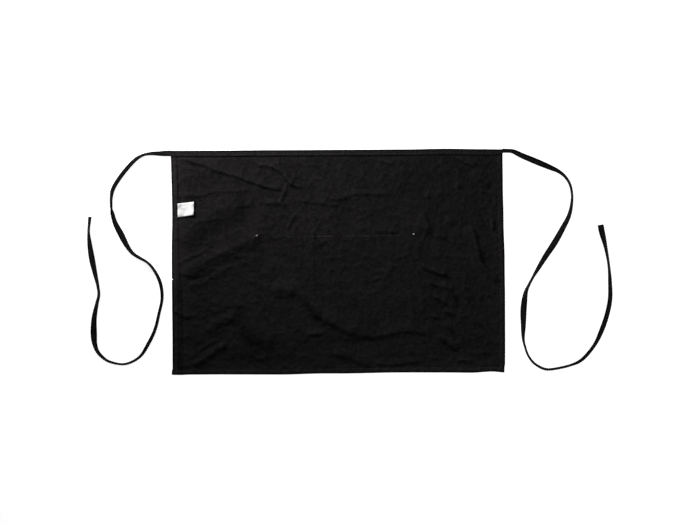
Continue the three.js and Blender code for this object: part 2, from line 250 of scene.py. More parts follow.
# How far each edge of the panel lies outside its straight line: share along the edge, millimetres out.
EDGES = {
    "top": ((0, -0.6), (0.1, -0.3), (0.34, 0.9), (0.58, 1.9), (0.7, 2.4), (0.83, 4.1), (0.93, 3.1), (1, 2.6)),
    "bottom": ((0, 3.3), (0.025, 3.7), (0.055, 2.9), (0.14, 2.5), (0.33, 2.8), (0.46, 0.35), (0.5, 0.3),
               (0.7, -2), (0.83, -1.9), (0.9, -1.4), (0.965, -4), (1, -2.2)),
    "left": ((0, 3.8), (0.3, 0.9), (0.45, 1.9), (0.92, 0.2), (0.972, 0), (0.986, 1.5), (1, 1.5)),
    "right": ((0, -2.8), (0.15, -2), (0.32, -0.3), (0.5, 2.2), (0.67, 3.2), (0.9, 3.5), (0.96, 3.2),
              (0.985, 1.6), (1, 1.4)),
}

# Folds that the cloth lies in. A route's left-hand side is the lit one. Widths are those of the two slopes,
# crisp goes from 0, a soft swell, to 1, a sharp crease, and taper is the share that the height gains or loses
# towards the route's end.
Fold = namedtuple("Fold", "route height lit shade crisp taper", defaults=(0,))
FOLDS = (
    # Upper left
    Fold(((-370, 238), (-255, 199), (-150, 165), (-122, 161)), 3.0, 26, 7, 0.9, 0.35),
    Fold(((-186, 212), (-167, 216), (-147, 212), (-131, 198), (-115, 181), (-100, 167)),
         3.4, 16, 6, 0.9, 0.4),
    Fold(((-116, 176), (-96, 170), (-76, 166)), 2.8, 9, 6, 0.9),
    Fold(((-131, 128), (-124, 146), (-118, 160), (-110, 177)), 3.8, 12, 6, 0.9),
    Fold(((-188, 139), (-176, 131), (-159, 129), (-131, 129), (-117, 120)), 1.9, 16, 7, 0.8, 0.3),
    Fold(((-349, 146), (-306, 149), (-286, 156), (-244, 158), (-200, 157)), 1.5, 18, 7, 0.8),
    Fold(((-352, 36), (-318, 80), (-286, 107), (-250, 125), (-200, 138)), 5.0, 44, 44, 0.15),
    Fold(((-114, 68), (-104, 92), (-90, 118)), 2.2, 9, 6, 0.8),
    Fold(((-53, -75), (-54, 20), (-53, 114)), 0.7, 5, 5, 1),
    # Left swell
    Fold(((-360, -28), (-318, -8), (-280, 9), (-233, 33), (-166, 60)), 4.4, 54, 28, 0.5),
    Fold(((-366, -32), (-345, -33), (-316, -33), (-292, -22), (-268, -8)), 1.1, 18, 6, 0.85),
    Fold(((-345, -54), (-305, -48), (-279, -29), (-248, -12)), 2.6, 10, 22, 0.6),
    Fold(((-345, 10), (-315, 13), (-303, 22), (-275, 49)), 2.0, 9, 6, 0.8),
    Fold(((-368, -10), (-345, 2), (-322, 11)), 1.6, 8, 6, 0.8),
    Fold(((-308, 33), (-292, 43), (-274, 55)), 1.6, 8, 6, 0.8),
    # Lower left
    Fold(((-302, -158), (-275, -140), (-253, -127), (-239, -132)), 4.2, 14, 24, 0.5),
    Fold(((-258, -116), (-227, -138), (-211, -160), (-191, -175), (-140, -192)), 4.0, 34, 26, 0.2),
    Fold(((-214, -164), (-197, -176), (-172, -186)), 0.9, 10, 7, 0.8),
    Fold(((-331, -237), (-290, -212), (-246, -182)), 4.2, 12, 14, 0.5),
    Fold(((-340, -226), (-312, -200), (-292, -189)), 2.0, 9, 8, 0.6),
    Fold(((-395, -98), (-352, -122), (-334, -130)), 2.8, 16, 9, 0.6),
    Fold(((-338, -148), (-322, -145), (-308, -146)), 2.0, 14, 8, 0.7),
    Fold(((-310, -196), (-286, -184), (-262, -176)), 2.2, 10, 8, 0.6),
    Fold(((-366, -150), (-335, -168), (-300, -176)), 2.0, 26, 24, 0.1),
    Fold(((-232, -200), (-196, -214), (-150, -222)), 2.2, 24, 16, 0.3),
    Fold(((-270, -172), (-200, -180), (-130, -190), (-30, -200), (50, -220)), 3.8, 100, 60, 0),
    Fold(((-186, -29), (-164, -30), (-142, -29)), 1.8, 12, 7, 0.6),
    Fold(((-245, 8), (-218, 9), (-192, 9)), 1.6, 12, 7, 0.5),
    Fold(((-262, -88), (-238, -100), (-214, -98)), 2.0, 16, 12, 0.4),
    # Middle
    Fold(((-102, 139), (-50, 131), (8, 125)), 1.7, 12, 6, 0.8),
    Fold(((-25, 140), (2, 140), (23, 146), (43, 152), (80, 152), (114, 149)), 2.2, 14, 6, 0.8),
    Fold(((80, 73), (94, 67), (114, 67), (134, 61)), 2.2, 14, 7, 0.7),
    Fold(((104, -47), (116, -20), (128, 6)), 1.6, 14, 9, 0.4),
    # Lower edge of the pocket
    Fold(((-152, -76), (-133, -66), (-107, -66), (-88, -78), (-65, -102), (-40, -131)),
         5.4, 30, 20, 0.4, 0.3),
    Fold(((-44, -120), (-14, -137), (12, -153), (41, -164), (77, -170)), 4.6, 40, 15, 0.45),
    Fold(((58, -169), (77, -171), (115, -163), (154, -159), (193, -162), (214, -170)), 2.8, 28, 7, 0.6),
    Fold(((-74, -163), (-52, -164), (-32, -162)), 3.2, 12, 8, 0.7),
    Fold(((-43, -148), (-34, -141), (-25, -134)), 2.4, 6, 6, 0.8),
    Fold(((-15, -206), (18, -213), (48, -225), (75, -235)), 3.6, 28, 14, 0.4),
    Fold(((78, -231), (120, -234), (161, -229), (198, -226)), 2.4, 14, 7, 0.6),
    # Right
    Fold(((180, -6), (193, -12), (210, -22), (228, -27), (250, -33)), 3.6, 20, 8, 0.8),
    Fold(((201, -32), (207, -44), (216, -53), (232, -58), (247, -60), (262, -72)), 3.8, 14, 8, 0.8),
    Fold(((248, -64), (261, -80), (265, -96)), 3.0, 12, 7, 0.8),
    Fold(((208, -74), (224, -84), (236, -90), (247, -103)), 3.2, 12, 7, 0.8),
    Fold(((236, -110), (250, -116), (267, -121)), 4.0, 14, 8, 0.8),
    Fold(((200, -120), (214, -126), (230, -130)), 3.0, 10, 7, 0.8),
    Fold(((241, -133), (250, -150), (260, -168)), 4.6, 12, 8, 0.8),
    Fold(((226, -163), (236, -174), (250, -187), (272, -204)), 5.0, 16, 9, 0.7),
    Fold(((262, -226), (285, -226), (309, -227)), 3.6, 12, 6, 0.9),
    Fold(((296, -58), (308, -66), (319, -78), (320, -95)), 2.8, 9, 7, 0.7),
    Fold(((326, -68), (335, -76), (344, -86)), 2.4, 9, 7, 0.7),
    Fold(((280, -70), (290, -82), (304, -88)), 2.2, 9, 7, 0.7),
    Fold(((298, -132), (316, -142), (330, -136)), 2.0, 10, 8, 0.6),
    Fold(((302, -160), (322, -168), (338, -160)), 1.8, 10, 8, 0.6),
    Fold(((315, -209), (333, -207), (352, -210)), 2.0, 9, 7, 0.7),
    Fold(((368, -42), (336, -14), (324, 0), (321, 18), (317, 39), (309, 64), (297, 84)), 4.6, 28, 9, 0.6),
    Fold(((206, 58), (199, 92), (184, 116)), 3.0, 36, 12, 0.3),
    Fold(((264, 84), (256, 95), (240, 99)), 2.4, 20, 10, 0.4),
    Fold(((216, 62), (232, 57), (250, 50)), 2.2, 14, 8, 0.5),
    Fold(((194, 140), (203, 149), (213, 158)), 1.8, 8, 7, 0.7),
    Fold(((350, 66), (352, 86), (350, 104)), 3.0, 9, 6, 0.7),
    # Upper right
    Fold(((246, 243), (262, 238), (287, 222), (304, 216), (313, 204)), 2.8, 12, 6, 0.9),
    Fold(((300, 210), (322, 184), (344, 166)), 4.0, 26, 18, 0.2),
    Fold(((84, 231), (105, 224), (125, 216)), 2.6, 10, 6, 0.8),
    Fold(((138, 212), (148, 205), (159, 197)), 2.8, 10, 7, 0.8),
    Fold(((38, 214), (52, 222), (70, 227)), 1.8, 9, 7, 0.6),
    Fold(((262, 178), (278, 172), (292, 174)), 2.2, 16, 10, 0.4),
)

# Painted shade along turns, and a painted highlight on one crest: line, half width, darker by.
PAINTED_TURN_SHADES = (
    (((-360, 235), (-328, 223), (-296, 212)), 3, 0.2),
    (((-306, 149), (-286, 155), (-244, 157), (-205, 157)), 3.5, 0.14),
    (((-120, -68), (-92, -75), (-66, -102), (-43, -130), (-18, -145), (10, -153)), 7, 0.26),
    (((-250, -122), (-232, -134), (-214, -150), (-196, -168), (-160, -186)), 18, 0.26),
    (((-358, -17), (-320, 0), (-284, 16), (-240, 38)), 9, -0.22),
    (((206, -20), (210, -34), (209, -48)), 4, 0.24),
    (((254, -66), (265, -82), (267, -100), (262, -120)), 5, 0.18),
    (((246, -134), (252, -150), (261, -167)), 5, 0.26),
    (((227, -166), (246, -188), (270, -205)), 6, 0.2),
    (((206, -76), (226, -92), (246, -106)), 8, 0.16),
    (((210, -30), (230, -34), (256, -40)), 6, 0.18),
)

# Routes of the ties on the floor, from the band outwards: x, y and the tape's roll in degrees.
LEFT_TIE = (
    (-403, 245, 46), (-421, 245, 62), (-439, 242, 68), (-456, 233, 57), (-481, 207, 51), (-502, 178, 51),
    (-510, 162, 53), (-513, 144, 63), (-513, 126, 72), (-510, 108, 102), (-505, 90, 117), (-491, 62, 139),
    (-476, 34, 117), (-464, 19, 107), (-449, 9, 104), (-433, 0, 99), (-420, -13, 100), (-403, -45, 104),
    (-398, -81, 101), (-405, -117, 101), (-414, -153, 104), (-429, -185, 108), (-449, -215, 103),
    (-482, -231, 104), (-518, -225, 111), (-533, -215, 118), (-545, -201, 126), (-551, -183, 142),
    (-553, -165, 163), (-552, -129, 143), (-545, -93, 121), (-541, -75, 117), (-543, -56, 117),
    (-551, -21, 137), (-557, 6, 154), (-562, 41, 134), (-564, 69, 113), (-561, 102, 121),
)
RIGHT_TIE = (
    (394, 250.4, 63), (415, 240.8, 52), (448, 227, 43), (481, 213, 58), (498, 205, 72), (512, 194, 80),
    (523, 178, 85), (528, 160, 86), (529, 142, 85), (523, 107, 70), (507, 74, 52), (489, 42, 39),
    (469, 12, 52), (450, -19, 71), (441, -34, 81), (432, -51, 81), (425, -67, 70), (420, -103, 37),
    (419, -139, 55), (419, -176, 81), (423, -193, 85), (429, -210, 84), (440, -226, 80),
    (455, -237, 77), (472, -243, 73), (509, -238, 71), (527, -233, 70), (544, -226, 64), (558, -215, 59),
    (581, -186, 57), (596, -155, 43), (608, -120, 44), (615, -85, 46), (615, -48, 53), (612, -8, 66),
    (605, 33, 56), (597, 68, 25), (594, 84, 25),
)

# Painted light and shade along each tie, paler or darker: share of its length, tone.
LEFT_TIE_LIGHT = (
    (0, -0.12), (0.19, -0.12), (0.22, 0.2), (0.27, 0.3), (0.32, -0.3), (0.6, -0.35), (0.66, -0.2),
    (0.7, 0.55), (0.75, 0.5), (0.81, 0), (0.85, 0.5), (0.92, 0.55), (0.96, 0.1), (1, 0.1),
)
RIGHT_TIE_LIGHT = (
    (0, 0.45), (0.08, 0.5), (0.13, 0), (0.22, 0), (0.26, 0.15), (0.33, 0.1), (0.38, -0.1), (0.43, 0.1),
    (0.47, 0.1), (0.52, -0.25), (0.69, -0.3), (0.75, 0.35), (0.84, 0.4), (0.9, 0.1), (0.95, 0.7), (1, 0.7),
)

# Section of the folded tape: across, and thickness as a share of half. The slit of the two turned edges is on
# the left, with the stitch groove beside it.
TAPE_SECTION = (
    (-6.7, -0.05), (-7.4, -0.22), (-7.5, -0.55), (-7.2, -0.94), (-6.4, -0.98), (-5.7, -0.7), (-5, -0.96),
    (-2, -1), (1, -1), (4, -1), (6.7, -0.96), (7.3, -0.66), (7.5, 0), (7.3, 0.66), (6.7, 0.96), (4, 1),
    (1, 1), (-2, 1), (-5, 0.96), (-5.7, 0.7), (-6.4, 0.98), (-7.2, 0.94), (-7.5, 0.55), (-7.4, 0.22),
)
TAPE_GROOVE = (-5.7, 0.78)

# Section of the band over the panel's top edge: distance below the top, height.
BAND_SECTION = (
    (13, 0.3), (12.4, 0.12), (11.2, 0.24), (9.8, 0.1), (6, 0.08), (3, 0.08), (1.2, 0.16), (0.35, 0.55),
    (0, 1.5), (0.3, 2.2), (1.1, 2.75), (2.4, 3.05), (4.4, 3.2), (6.6, 3.35), (8.8, 3.5), (10, 3.6),
    (11.2, 3.45), (12.3, 3.6), (12.9, 3.4), (13.1, 3.0), (12.6, 2.6), (10, 2.4), (4, 2.35), (2, 2.3),
    (1.2, 1.75), (2, 1.15), (4, 1.1), (10, 1.15), (12.6, 1.0), (13.1, 0.65),
)
BAND_GROOVE_DOWN = 11.2


def smooth(value, low, high):
    """A soft step from 0 at low to 1 at high."""
    share = np.clip((value - low) / (high - low), 0, 1)
    return share * share * (3 - 2 * share)


def soft_steps(rows, at):
    """A value that goes softly from row to row of a table: place, value."""
    value = np.full(np.shape(at), float(rows[0][1]))
    for (start, low), (end, high) in zip(rows, rows[1:]):
        value += (high - low) * smooth(at, start, end)
    return value


def bump(value, half):
    """A bell that is 1 at 0 and has died away at about twice its half width."""
    return np.exp(-(value / half) ** 2)


def travelled(rows, second=1):
    """Distance along a line of each row, by its first column and so much of its second."""
    steps = np.hypot(np.diff(rows[:, 0]), second * np.diff(rows[:, 1]))
    return np.concatenate([[0], np.cumsum(steps)])


def through(points, steps):
    """A smooth curve through rows of points, spaced by their first two columns."""
    rows = np.asarray(points, float)
    rows = np.vstack([2 * rows[0] - rows[1], rows, 2 * rows[-1] - rows[-2]])
    spans = np.sqrt(np.maximum(np.hypot(*np.diff(rows[:, :2], axis=0).T), 1e-6))
    share = np.linspace(0, 1, steps, endpoint=False)[:, None]
    curve = []
    for i in range(1, len(rows) - 2):
        before, here, after, beyond = rows[i - 1:i + 3]
        d0, d1, d2 = spans[i - 1:i + 2]
        leave = d1 * ((here - before) / d0 - (after - before) / (d0 + d1) + (after - here) / d1)
        arrive = d1 * ((after - here) / d1 - (beyond - here) / (d1 + d2) + (beyond - after) / d2)
        curve.append((2 * share**3 - 3 * share**2 + 1) * here + (share**3 - 2 * share**2 + share) * leave
                     + (3 * share**2 - 2 * share**3) * after + (share**3 - share**2) * arrive)
    return np.vstack(curve + [rows[-2:-1]])


def evenly(curve, step):
    """The curve at equal steps, and the distance along it of each row."""
    along = travelled(curve)
    at = np.linspace(0, along[-1], max(2, round(along[-1] / step) + 1))
    return np.column_stack([np.interp(at, along, column) for column in curve.T]), at


def edge_out(edge, share):
    """How far an edge of the panel lies out at a share of its length."""
    return soft_steps(EDGES[edge], share)


def place(across, down):
    """The panel's own sizes, from its middle and from its top edge, as x and y on the floor."""
    side = across / PANEL_WIDTH + 0.5
    fall = down / PANEL_LENGTH
    x = across + side * edge_out("right", fall) - (1 - side) * edge_out("left", fall)
    y = PANEL_LENGTH / 2 - down + (1 - fall) * edge_out("top", side) - fall * edge_out("bottom", side)
    nick = np.clip(1 - np.abs(down - NICK_DOWN) / NICK_HALF, 0, 1)
    return x + NICK_DEPTH * nick * (1 - smooth(across + HALF, 0, NICK_REACH)), y


def beside_fold(fold, x, y, lean=0):
    """Which points are near a fold, how far to the lit side of its leaning crest, and how its ends fade."""
    curve, at = evenly(through(fold.route, CURVE_STEPS), FOLD_STEP)
    reach = max(fold.lit, fold.shade) + lean
    low = curve.min(axis=0) - reach
    high = curve.max(axis=0) + reach
    near = (x > low[0]) & (x < high[0]) & (y > low[1]) & (y < high[1])
    px = x[near]
    py = y[near]
    distance = np.full(px.shape, np.inf)
    side = np.zeros(px.shape)
    along = np.zeros(px.shape)
    for i in range(len(curve) - 1):
        ax, ay = curve[i]
        dx, dy = curve[i + 1] - curve[i]
        share = np.clip(((px - ax) * dx + (py - ay) * dy) / (dx * dx + dy * dy), 0, 1)
        ox = px - ax - share * dx
        oy = py - ay - share * dy
        gap = np.hypot(ox, oy)
        nearer = gap < distance
        distance = np.where(nearer, gap, distance)
        side = np.where(nearer, dx * oy - dy * ox, side)
        along = np.where(nearer, at[i] + share * (at[i + 1] - at[i]), along)
    soft = 0.8 * (1 - fold.crisp) * reach
    fade = min(max(FOLD_FADE, soft), 0.4 * at[-1])
    ends = smooth(along, 0, fade) * smooth(at[-1] - along, 0, fade)
    to_lit = np.where(side > 0, distance, -distance) - lean
    return near, to_lit, ends * (1 + fold.taper * (2 * along / at[-1] - 1))


def fold_height(fold, x, y):
    """Height of one fold at each x and y."""
    near, to_lit, ends = beside_fold(fold, x, y, FOLD_LEAN * fold.crisp)
    slope = np.clip(np.abs(to_lit) / np.where(to_lit > 0, fold.lit, fold.shade), 0, 1)
    profile = (1 - fold.crisp) * (0.5 + 0.5 * np.cos(np.pi * slope)) + fold.crisp * (1 - slope) ** 2
    height = np.zeros(x.shape)
    height[near] = fold.height * profile * ends
    return height


def crease_light_and_shade(fold, x, y):
    """Painted highlight on one crease's crest, and painted shade in the turn below it."""
    near, to_lit, ends = beside_fold(fold, x, y, FOLD_LEAN * fold.crisp)
    strength = smooth(fold.crisp, *CREASE_CRISP) * min(1, fold.height / CREASE_HEIGHT) * ends
    turned = bump(np.abs(to_lit) - CREASE_OFF, CREASE_HALF)
    tone = np.zeros(x.shape)
    tone[near] = strength * np.where(to_lit > 0, CREASE_HIGHLIGHT, -CREASE_SHADE) * turned
    return tone


def painted_turn_shade(route, half, depth, x, y):
    """How much darker the cloth is painted in one deep turn, as shade; a negative depth paints a highlight.
    """
    near, to_lit, ends = beside_fold(Fold(route, 0, 3 * half, 3 * half, 0.9), x, y)
    tone = np.zeros(x.shape)
    tone[near] = depth * ends * bump(to_lit, half)
    return tone


def ripples(x, y, seed, count, longest, shortest):
    """Even random waves of about unit height between two wavelengths."""
    draw = np.random.default_rng(seed)
    total = np.zeros(np.shape(x))
    for _ in range(count):
        turn = draw.uniform(0, 2 * math.pi)
        wave = 2 * math.pi / math.exp(draw.uniform(math.log(shortest), math.log(longest)))
        phase = draw.uniform(0, 2 * math.pi)
        total += np.cos(wave * (math.cos(turn) * x + math.sin(turn) * y) + phase)
    return total / math.sqrt(count / 2)


def wavered(x, y):
    """x and y moved a little one way and another, so that a fold wavers as it runs."""
    along_x = sum(share * ripples(x, y, *waves) for share, waves in WAVER_X)
    along_y = sum(share * ripples(x, y, *waves) for share, waves in WAVER_Y)
    return x + along_x, y + along_y


def crumple(x, y):
    """The cloth's general unevenness: a slow swell, and a web of small creases where two waves meet."""
    swell = np.maximum(ripples(x, y, *SWELL_WAVES) + 2, 0)
    web = np.exp(-WEB_SHARP * np.abs(ripples(x, y, *WEB_WAVES)))
    fine = np.exp(-WEB_SHARP * np.abs(ripples(x, y, *FINE_WAVES)))
    return SWELL_RISE * swell + WEB_RISE * web + FINE_RISE * fine


def pocket_share(across, down):
    """1 over the pocket, falling softly to 0 around it."""
    beside = np.abs(across - POCKET_OFF_CENTRE) - POCKET_WIDTH / 2
    above = POCKET_BELOW_TOP - down
    below = down - POCKET_BELOW_TOP - POCKET_DEPTH
    share = 1 - smooth(beside, 1, POCKET_EASE["beside"])
    share = share * (1 - smooth(above, 1, POCKET_EASE["above"]))
    return share * (1 - smooth(below, 1, POCKET_EASE["below"]))


def cloth_height(across, down):
    """Height of the panel cloth's middle over the floor."""
    across = np.asarray(across, float)
    down = np.asarray(down, float)
    x, y = place(across, down)
    inside = np.minimum(HALF - np.abs(across), PANEL_LENGTH - down)
    calm = EDGE_SHARE + (1 - EDGE_SHARE) * smooth(inside, 0, EDGE_CALM)
    calm = calm * smooth(down, BAND_DEPTH, BAND_DEPTH + EDGE_CALM)
    bent_x, bent_y = wavered(x, y)
    uneven = np.clip(0.2 * ripples(x, y, *UNEVEN_WAVES), -0.4, 0.4)
    relief = crumple(x, y)
    for fold in FOLDS:
        relief = relief + (1 + fold.crisp * uneven) * fold_height(fold, bent_x, bent_y)
    in_band = (BAND_MIDDLE - LIE) * (1 - smooth(down, BAND_DEPTH, BAND_DEPTH + BAND_EASE))
    over_pocket = POCKET_LIFT * pocket_share(across, down)
    return LIE + calm * relief + np.maximum(in_band, over_pocket)


def widened(down):
    """How much of its final width the left hem has gained at a distance below the panel's top."""
    return smooth(down, *LEFT_HEM_WIDENS)


def left_hem(down):
    """Width of the left hem at a distance below the panel's top."""
    return LEFT_HEM[0] + (LEFT_HEM[1] - LEFT_HEM[0]) * widened(down)


def left_seam(down):
    """Distance of the left hem's stitching from the panel's edge."""
    return LEFT_SEAM[0] + (LEFT_SEAM[1] - LEFT_SEAM[0]) * widened(down)


def double_fold(width, turn, seam):
    """A double fold from its raw edge inwards: distance from the folded edge, cloth layer."""
    inner = [(width - turn, 1), (width - HEM_NOSE, 1), (width, 1.5), (width - HEM_NOSE, 2)]
    sewn_down = [(seam, 1.55), (seam - 2, 2)]
    outer = [(4.6, 2), (3.2, 2), (1.4, 1.85), (0.5, 1.5), (0, 0.9), (0.3, 0.3), (0.9, 0)]
    return np.array(inner + sewn_down + outer + [(width / 2, 0), (width, 0)])


def single_fold(turn):
    """An edge turned under once, from its raw edge inwards: distance from the folded edge, cloth layer."""
    nose = HEM_NOSE
    return np.array([(turn, 1), (turn / 2, 1), (nose, 1), (0, 0.5), (nose, 0), (turn / 2, 0), (turn, 0)])


def far_side(fold, end):
    """The same fold at the other end of a cloth, from the cloth outwards to its raw edge."""
    return fold[::-1] * (-1, 1) + (end, 0)


def joined(first, plain, last):
    """Rows of place and layer along a cloth: a fold, plain cloth and another fold."""
    return np.vstack([first, np.column_stack([plain, np.zeros(len(plain))]), last])


def stacked(row_layer, column_layer, stack):
    """Layers under a point where folded rows cross folded columns that lie stack layers high."""
    flipped = 2 * stack + 1 - column_layer
    again = 2 * stack + 2 + column_layer
    once = np.minimum(row_layer, 1)
    twice = np.maximum(row_layer - 1, 0)
    total = column_layer + (flipped - column_layer) * once + (again - flipped) * twice
    return total / (1 + STACK_PRESS * total)


def mesh_piece(name, points, faces, uv, material):
    """A smooth mesh object of a piece, from millimetres."""
    mesh = bpy.data.meshes.new(name)
    mesh.from_pydata(np.asarray(points) * MM, [], faces)
    layer = mesh.uv_layers.new(name="cloth")
    corners = np.empty(len(mesh.loops), dtype=np.int32)
    mesh.loops.foreach_get("vertex_index", corners)
    layer.data.foreach_set("uv", (np.asarray(uv, float)[corners] * MM).ravel())
    mesh.shade_smooth()
    mesh.set_sharp_from_angle(angle=math.radians(SHARP_ANGLE))
    mesh.materials.append(material)
    piece = bpy.data.objects.new(name, mesh)
    bpy.context.scene.collection.objects.link(piece)
    return piece


def give(piece, name, values):
    """A named value at each point of a piece, for its material."""
    layer = piece.data.attributes.new(name, "FLOAT", "POINT")
    layer.data.foreach_set("value", np.ravel(values).astype(np.float32))


def sheet_piece(name, points, flat_u, flat_v, thickness, material):
    """A sheet of cloth from a grid of points, rows running down and columns to the right."""
    rows, columns = points.shape[:2]
    index = np.arange(rows * columns).reshape(rows, columns)
    faces = np.stack([index[:-1, :-1], index[1:, :-1], index[1:, 1:], index[:-1, 1:]], axis=-1).reshape(-1, 4)
    u = np.broadcast_to(flat_u, (rows, columns))
    v = np.broadcast_to(-np.asarray(flat_v)[:, None], (rows, columns))
    uv = np.column_stack([u.ravel(), v.ravel()])
    piece = mesh_piece(name, points.reshape(-1, 3), faces.tolist(), uv, material)
    wall = piece.modifiers.new("cloth", "SOLIDIFY")
    wall.thickness = thickness * MM
    wall.offset = 0
    return piece


def swept_piece(name, rings, flat_u, flat_v, material):
    """A closed tape from a list of rings, with its ends filled."""
    count, size = rings.shape[:2]
    index = np.arange(count * size).reshape(count, size)
    around = np.roll(index, -1, axis=1)
    faces = np.stack([index[:-1], around[:-1], around[1:], index[1:]], axis=-1).reshape(-1, 4).tolist()
    faces.append(index[0][::-1].tolist())
    faces.append(index[-1].tolist())
    u, v = np.meshgrid(flat_u, flat_v)
    return mesh_piece(name, rings.reshape(-1, 3), faces, np.column_stack([u.ravel(), v.ravel()]), material)


def linear(colour):
    """An sRGB hex colour as linear RGBA."""
    parts = [int(colour[i:i + 2], 16) / 255 for i in (1, 3, 5)]
    return tuple(p / 12.92 if p <= 0.04045 else ((p + 0.055) / 1.055) ** 2.4 for p in parts) + (1.0,)


def add(tree, kind, settings=None, values=None, links=None):
    """One node with its settings, its socket values and what is linked into it."""
    node = tree.nodes.new(kind)
    for name, value in (settings or {}).items():
        setattr(node, name, value)
    for socket, value in (values or {}).items():
        node.inputs[socket].default_value = value
    for socket, source in (links or {}).items():
        tree.links.new(source, node.inputs[socket])
    return node


def new_material(name):
    """An empty material and its tree."""
    material = bpy.data.materials.new(name)
    material.use_nodes = True
    material.node_tree.nodes.clear()
    return material, material.node_tree


def surface(tree, values, links):
    """A material's shader, with its values and what is linked into it."""
    shader = add(tree, "ShaderNodeBsdfPrincipled", values=values, links=links)
    add(tree, "ShaderNodeOutputMaterial", links={"Surface": shader.outputs["BSDF"]})


def maths(tree, operation, *parts, clamp=False):
    """One step of arithmetic on numbers and on what other nodes give."""
    values = {i: part for i, part in enumerate(parts) if isinstance(part, (int, float))}
    links = {i: part for i, part in enumerate(parts) if i not in values}
    settings = {"operation": operation, "use_clamp": clamp}
    return add(tree, "ShaderNodeMath", settings, values, links).outputs["Value"]


def given(tree, name):
    """A value that a piece was given at each of its points."""
    return add(tree, "ShaderNodeAttribute", {"attribute_name": name}).outputs["Fac"]


def noise(tree, vector, size, detail, roughness=0.5):
    """Noise with patches of a size in millimetres."""
    values = {"Scale": 1 / (size * MM), "Detail": detail, "Roughness": roughness}
    return add(tree, "ShaderNodeTexNoise", values=values, links={"Vector": vector}).outputs["Fac"]


def ribs(tree, vector, direction, width, distortion, detail=2, detail_scale=1):
    """Even ribs of a width in millimetres. The texture turns by 20 radians for a scale of 1."""
    settings = {"wave_type": "BANDS", "bands_direction": direction}
    values = {"Scale": 2 * math.pi / (20 * width * MM), "Distortion": distortion, "Detail": detail,
              "Detail Scale": detail_scale}
    return add(tree, "ShaderNodeTexWave", settings, values, {"Vector": vector}).outputs["Fac"]


def shades(tree, dark, light, share):
    """A colour between two shades."""
    values = {6: linear(dark), 7: linear(light)}
    return add(tree, "ShaderNodeMix", {"data_type": "RGBA"}, values, {0: share}).outputs[2]


def raised(tree, height, depth, strength=1, normal=None):
    """The surface's direction with relief of a depth in millimetres on it."""
    links = {"Height": height}
    if normal:
        links["Normal"] = normal
    values = {"Strength": strength, "Distance": depth * MM}
    return add(tree, "ShaderNodeBump", values=values, links=links).outputs["Normal"]


def black_cotton(name, dark, light, rib, slant):
    """Washed black cotton: matt, with fine slanting ribs, worn patches, seam puckers, and painted light and
    shade.
    """
    material, tree = new_material(name)
    cloth = add(tree, "ShaderNodeUVMap", {"uv_map": "cloth"}).outputs["UV"]
    turned = add(tree, "ShaderNodeMapping", values={"Rotation": (0, 0, math.radians(slant))},
                 links={"Vector": cloth})
    twill = ribs(tree, turned.outputs["Vector"], "X", rib, 1.2, 1, 2)
    # The label's painted shadow, darkening only the upward face.
    where = add(tree, "ShaderNodeTexCoord")
    facing = add(tree, "ShaderNodeSeparateXYZ", links={"Vector": where.outputs["Normal"]})
    wrong_side = maths(tree, "GREATER_THAN", facing.outputs["Z"], 0)
    painted_label_shadow = maths(tree, "MULTIPLY", given(tree, "painted_label_shadow"), wrong_side)
    tone = maths(tree, "SUBTRACT", given(tree, "wear_and_painted_light"), painted_label_shadow)
    for size, share in WORN_PATCHES:
        patch = maths(tree, "SUBTRACT", noise(tree, cloth, size, 2, 0.6), 0.5)
        tone = maths(tree, "MULTIPLY_ADD", patch, share, tone)
    tone = maths(tree, "MULTIPLY_ADD", twill, RIB_TONE, tone)
    worn = maths(tree, "ADD", tone, MIDDLE_SHADE, clamp=True)
    turns = maths(tree, "MULTIPLY", given(tree, "seam_run"), 2 * math.pi / (PUCKER_PITCH * MM))
    pucker = maths(tree, "MULTIPLY", maths(tree, "SINE", turns), given(tree, "seam_pull"))
    crinkle = noise(tree, cloth, CRINKLE["size"], 3, 0.6)
    crinkled = raised(tree, crinkle, CRINKLE["depth"])
    puckered = raised(tree, pucker, PUCKER_DEPTH, normal=crinkled)
    woven = raised(tree, twill, RIB_DEPTH, 0.5, puckered)
    rough = add(tree, "ShaderNodeMapRange", values={"To Min": 0.95, "To Max": 0.82}, links={"Value": worn})
    colour = shades(tree, dark, light, worn)
    surface(tree, {"Specular IOR Level": 0.02, "Sheen Weight": 0.01, "Sheen Roughness": 0.6},
            {"Base Color": colour, "Roughness": rough.outputs["Result"], "Normal": woven})
    return material


def white_satin(name):
    """Woven polyester satin of a care label: bright white, with fine ribs along it and a soft gloss."""
    material, tree = new_material(name)
    cloth = add(tree, "ShaderNodeUVMap", {"uv_map": "cloth"}).outputs["UV"]
    woven = raised(tree, ribs(tree, cloth, "Y", SATIN_RIB, 0.6), 0.05, 0.4)
    colour = shades(tree, "#f3f3f1", "#ffffff", noise(tree, cloth, 6, 3))
    surface(tree, {"Roughness": 0.5, "Specular IOR Level": 0.4}, {"Base Color": colour, "Normal": woven})
    return material


def spun_thread(name, dark, light):
    """Spun polyester sewing thread: two tones twisted round each other, dull with a faint gleam."""
    material, tree = new_material(name)
    where = add(tree, "ShaderNodeTexCoord").outputs["Object"]
    colour = shades(tree, dark, light, noise(tree, where, 0.6, 1))
    surface(tree, {"Roughness": 0.7, "Specular IOR Level": 0.2}, {"Base Color": colour})
    return material


def studio_paper(name):
    """White background paper, lit from behind as well, so that shadows on it stay faint."""
    material, tree = new_material(name)
    where = add(tree, "ShaderNodeTexCoord").outputs["Object"]
    colour = shades(tree, "#f2f2f2", "#ffffff", noise(tree, where, 30, 3))
    surface(tree, {"Roughness": 0.9, "Emission Color": (1, 1, 1, 1), "Emission Strength": 0.9},
            {"Base Color": colour})
    return material


